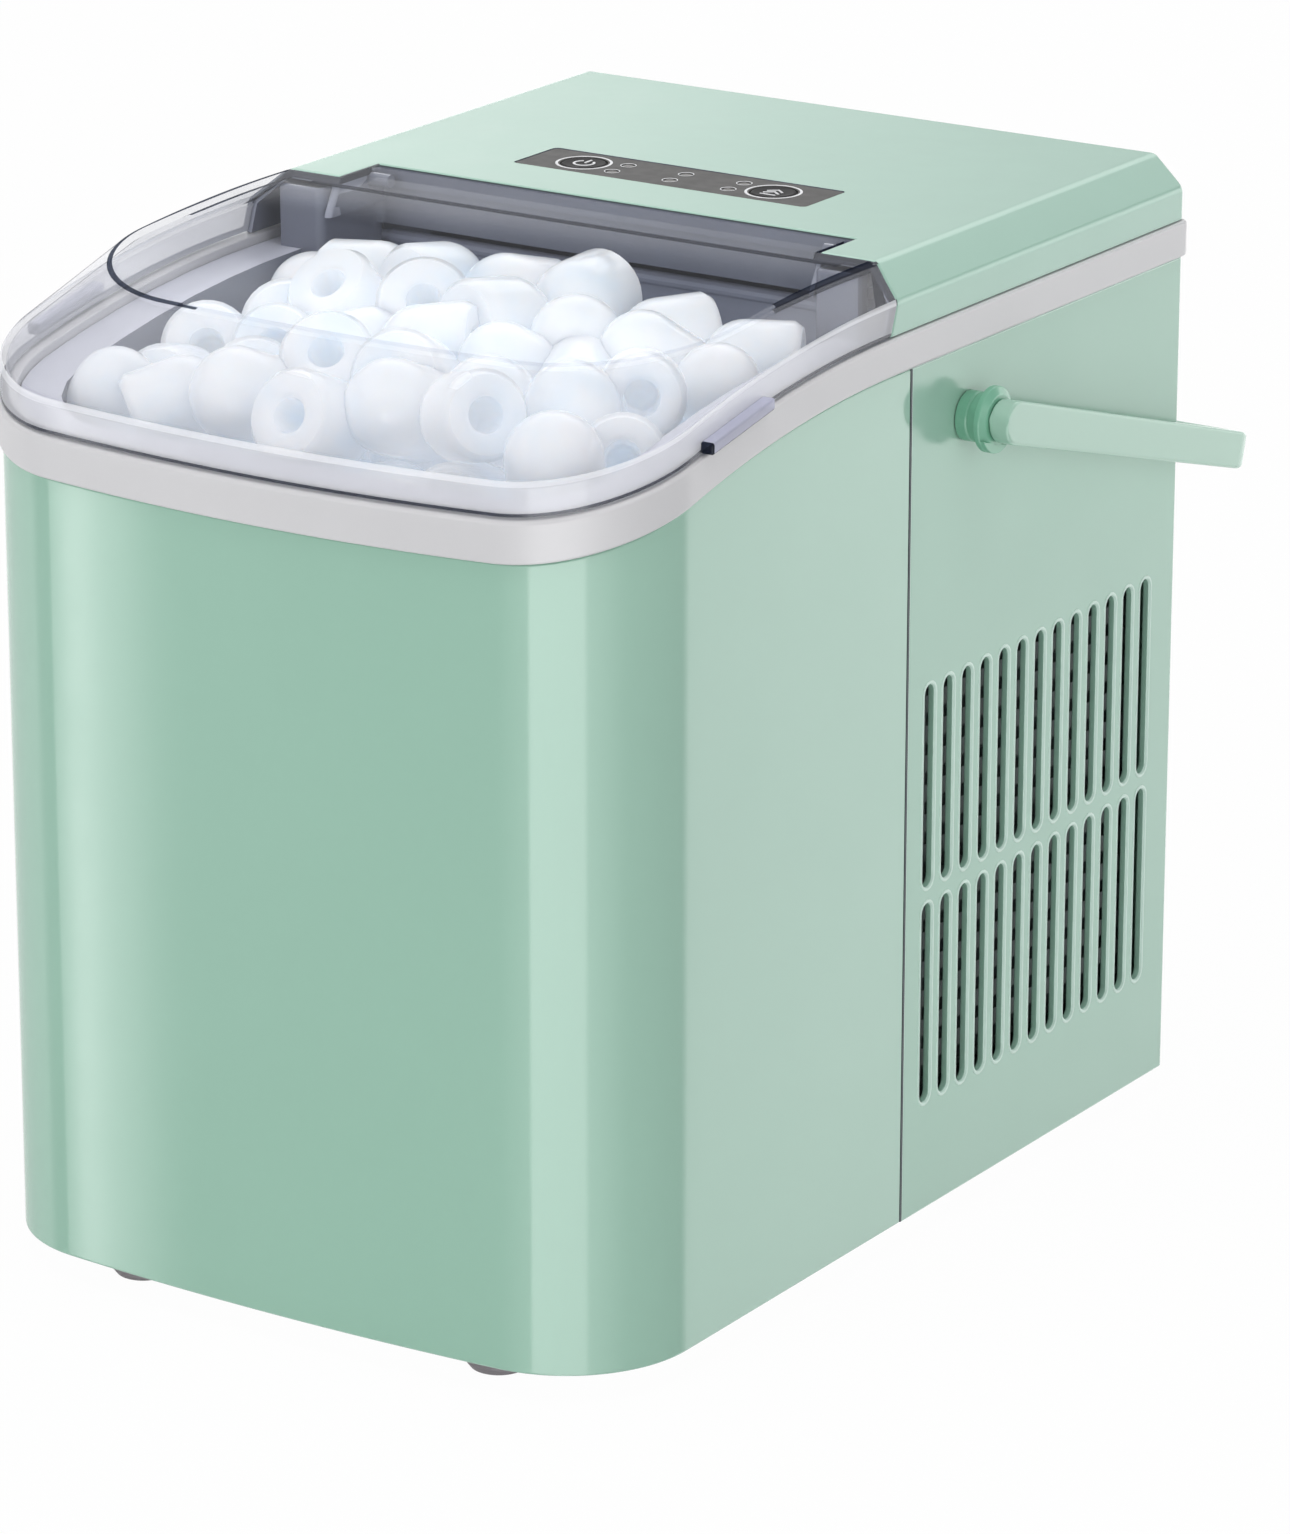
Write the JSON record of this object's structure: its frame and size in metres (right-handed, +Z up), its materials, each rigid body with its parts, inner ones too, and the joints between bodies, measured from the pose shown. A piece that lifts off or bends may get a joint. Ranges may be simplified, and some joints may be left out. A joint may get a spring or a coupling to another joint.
{
  "type": "ice maker",
  "caption": "Countertop bullet-ice maker with a clear sloping lid, an ice bin, a rear refrigeration compartment, side vents, feet and a fold-back carry handle.",
  "frame": {"origin": "middle of the whole footprint, on the surface that the feet stand on", "axes": "+X to the right of someone facing the front, +Y to the rear, +Z up"},
  "size_m": [0.2564, 0.3322, 0.2946],
  "materials": {
    "mint_plastic": "satin",
    "cover_plastic": "gloss",
    "band_plastic": "satin",
    "liner_plastic": "satin",
    "hood_plastic": "gloss",
    "panel_plastic": "satin",
    "black_plastic": "satin",
    "white_plastic": "satin",
    "foot_rubber": "matte",
    "black_rubber": "matte",
    "clear_lid": "gloss",
    "foam": "matte",
    "zinc_steel": "satin",
    "screw_steel": "satin",
    "black_iron": "satin",
    "fin_aluminium": "satin",
    "plated_evaporator": "polished",
    "copper": "satin",
    "circuit_board": "satin"
  },
  "bodies": {
    "case": {"front_shell": "mint_plastic", "right_side_panel": "mint_plastic", "left_side_panel": "mint_plastic", "rear_panel": "mint_plastic", "rear_screw_1": "screw_steel", "rear_screw_2": "screw_steel", "rear_screw_3": "screw_steel", "rear_screw_4": "screw_steel", "base_pan": "zinc_steel", "foot_front_left": "foot_rubber", "foot_front_right": "foot_rubber", "foot_rear_left": "foot_rubber", "foot_rear_right": "foot_rubber", "trim_band": "band_plastic", "top_cover": "cover_plastic", "control_panel": "panel_plastic", "indicator_light_guide": "white_plastic", "control_board": "circuit_board", "lid_hinge_pin_left": "screw_steel", "lid_hinge_pin_right": "screw_steel", "handle_pivot_left": "mint_plastic", "handle_pivot_right": "mint_plastic", "inner_liner": "liner_plastic", "insulation_foam": "foam", "ice_basket": "white_plastic", "inner_hood": "hood_plastic", "evaporator": "plated_evaporator", "tray_motor": "zinc_steel", "tray_bearing": "white_plastic", "ice_sensor_left": "black_plastic", "ice_sensor_right": "black_plastic", "water_pump": "black_plastic", "water_tube": "white_plastic", "drain_tube": "white_plastic", "compressor": "black_iron", "compressor_grommet_1": "black_rubber", "compressor_grommet_2": "black_rubber", "compressor_grommet_3": "black_rubber", "condenser": "fin_aluminium", "fan_frame": "black_plastic", "discharge_tube": "copper", "liquid_tube": "copper", "filter_drier": "copper", "capillary_tube": "copper", "suction_tube": "copper", "power_board": "circuit_board", "power_inlet": "black_plastic"},
    "lid": {"lid": "clear_lid"},
    "carry_handle": {"carry_handle": "mint_plastic"},
    "water_tray": {"water_tray": "white_plastic"},
    "splash_flap": {"splash_flap": "hood_plastic"},
    "fan_rotor": {"fan_rotor": "black_plastic"},
    "power_button": {"power_button": "black_plastic"},
    "select_button": {"select_button": "black_plastic"},
    "drain_plug": {"drain_plug": "black_rubber"}
  },
  "joints": [
    {"name": "lid_hinge", "type": "hinge", "parent": "case", "child": "lid", "pos_m": [0, 0.00333, 0.2911], "axis": [-1, 0, 0], "range_deg": [0, 86]},
    {"name": "carry_handle_pivot", "type": "hinge", "parent": "case", "child": "carry_handle", "pos_m": [0, 0.02213, 0.2442], "axis": [1, 0, 0], "range_deg": [0, 106]},
    {"name": "water_tray_tilt", "type": "hinge", "parent": "case", "child": "water_tray", "pos_m": [0, 0.05713, 0.256], "axis": [1, 0, 0], "range_deg": [0, 45]},
    {"name": "splash_flap_swing", "type": "hinge", "parent": "case", "child": "splash_flap", "pos_m": [0, 0.01313, 0.272], "axis": [-1, 0, 0], "range_deg": [0, 35]},
    {"name": "fan_rotor_spin", "type": "hinge", "parent": "case", "child": "fan_rotor", "pos_m": [0.069, 0.07163, 0.105], "axis": [1, 0, 0], "continuous": true},
    {"name": "power_button_press", "type": "slide", "parent": "case", "child": "power_button", "axis": [0, 0, -1], "range_m": [0, 0.0008], "stiffness_N_per_m": 600, "springref_m": -0.0008},
    {"name": "select_button_press", "type": "slide", "parent": "case", "child": "select_button", "axis": [0, 0, -1], "range_m": [0, 0.0008], "stiffness_N_per_m": 600, "springref_m": -0.0008},
    {"name": "drain_plug_pull", "type": "slide", "parent": "case", "child": "drain_plug", "axis": [0, 1, 0], "range_m": [0, 0.012]}
  ]
}
